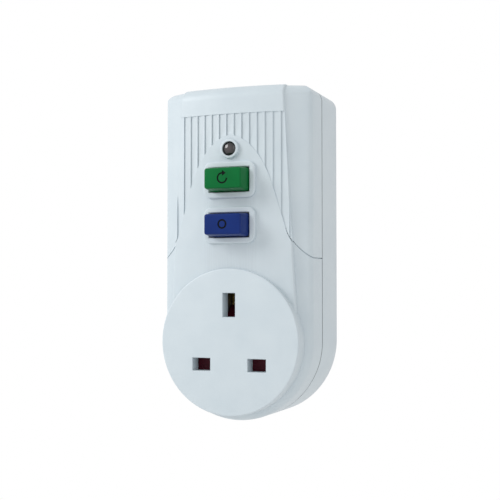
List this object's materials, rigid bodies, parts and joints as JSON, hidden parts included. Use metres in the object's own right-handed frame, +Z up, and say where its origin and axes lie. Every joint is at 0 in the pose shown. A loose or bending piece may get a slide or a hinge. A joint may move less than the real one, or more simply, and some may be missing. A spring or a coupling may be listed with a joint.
{
  "type": "rcd adapter plug",
  "caption": "Plug-through residual-current adapter: flat pins at the back, a shuttered socket on a round boss, a ribbed front with reset and test buttons and an indicator.",
  "frame": {"origin": "on the rear face, at the centre of the pin pattern, which is also the centre of the socket boss", "axes": "+X to the viewer's right, +Y backwards into the wall socket, +Z up"},
  "size_m": [0.06, 0.0702, 0.1264],
  "materials": {
    "shell": "fine moulded texture",
    "green_plastic": "satin",
    "blue_plastic": "satin",
    "maroon_plastic": "moulded",
    "smoked_lens": "polished",
    "black_sleeve": "moulded",
    "dark_plastic": "moulded",
    "cream_plastic": "moulded",
    "pin_brass": "satin",
    "contact_copper": "rolled sheet",
    "steel": "plated",
    "spring_steel": "drawn wire",
    "board_laminate": "lacquered",
    "winding_copper": "enamelled wire",
    "ferrite": "sintered",
    "lead_insulation": "extruded",
    "lamp_resin": "clear cast",
    "chip_black": "moulded",
    "disc_blue": "dipped",
    "can_navy": "sleeved",
    "bead_tan": "lacquered"
  },
  "bodies": {
    "housing": {"front_cover": "shell", "rear_cover": "shell", "cover_screws": "steel", "socket_base": "dark_plastic", "base_screws": "steel", "shutter_spring": "spring_steel", "live_socket_contact": "pin_brass", "neutral_socket_contact": "pin_brass", "earth_socket_contact": "pin_brass", "live_pin": "pin_brass", "neutral_pin": "pin_brass", "earth_pin": "pin_brass", "live_pin_sleeve": "black_sleeve", "neutral_pin_sleeve": "black_sleeve", "live_input_bar": "contact_copper", "neutral_input_bar": "contact_copper", "live_output_bar": "contact_copper", "neutral_output_bar": "contact_copper", "earth_strap": "contact_copper", "circuit_board": "board_laminate", "board_screws": "steel", "mechanism_frame": "cream_plastic", "fixed_contacts": "contact_copper", "carriage_spring": "spring_steel", "reset_spring": "spring_steel", "test_spring": "spring_steel", "test_contact": "contact_copper", "test_terminal": "contact_copper", "indicator_lens": "smoked_lens", "indicator_lamp": "lamp_resin", "coil_bobbin": "cream_plastic", "coil_winding": "winding_copper", "coil_yoke": "steel", "plunger_spring": "spring_steel", "sensing_core": "ferrite", "core_winding": "winding_copper", "primary_leads": "lead_insulation", "control_chip": "chip_black", "thyristor": "chip_black", "varistor": "disc_blue", "capacitors": "can_navy", "resistors": "bead_tan"},
    "reset": {"reset_button": "green_plastic"},
    "carriage": {"contact_carriage": "cream_plastic", "moving_contacts": "contact_copper"},
    "test": {"test_button": "blue_plastic"},
    "shutter": {"socket_shutter": "maroon_plastic"},
    "trip": {"trip_plunger": "steel", "latch_plate": "steel"}
  },
  "joints": [
    {"name": "reset_press", "type": "slide", "parent": "housing", "child": "reset", "axis": [0, 1, 0], "range_m": [0, 0.004], "stiffness_N_per_m": 400, "deforming": ["reset_spring"]},
    {"name": "carriage_slide", "type": "slide", "parent": "housing", "child": "carriage", "axis": [0, 1, 0], "range_m": [0, 0.004], "stiffness_N_per_m": 300, "deforming": ["carriage_spring"]},
    {"name": "test_press", "type": "slide", "parent": "housing", "child": "test", "axis": [0, 1, 0], "range_m": [0, 0.003], "stiffness_N_per_m": 400, "deforming": ["test_spring", "test_contact"]},
    {"name": "shutter_slide", "type": "slide", "parent": "housing", "child": "shutter", "axis": [0, 0, -1], "range_m": [0, 0.0052], "stiffness_N_per_m": 200, "deforming": ["shutter_spring"]},
    {"name": "trip_slide", "type": "slide", "parent": "housing", "child": "trip", "axis": [1, 0, 0], "range_m": [0, 0.002], "stiffness_N_per_m": 200, "deforming": ["plunger_spring"]}
  ],
  "couplings": [
    {"joint": "carriage_slide", "follows": "reset_press", "ratio": 1}
  ]
}
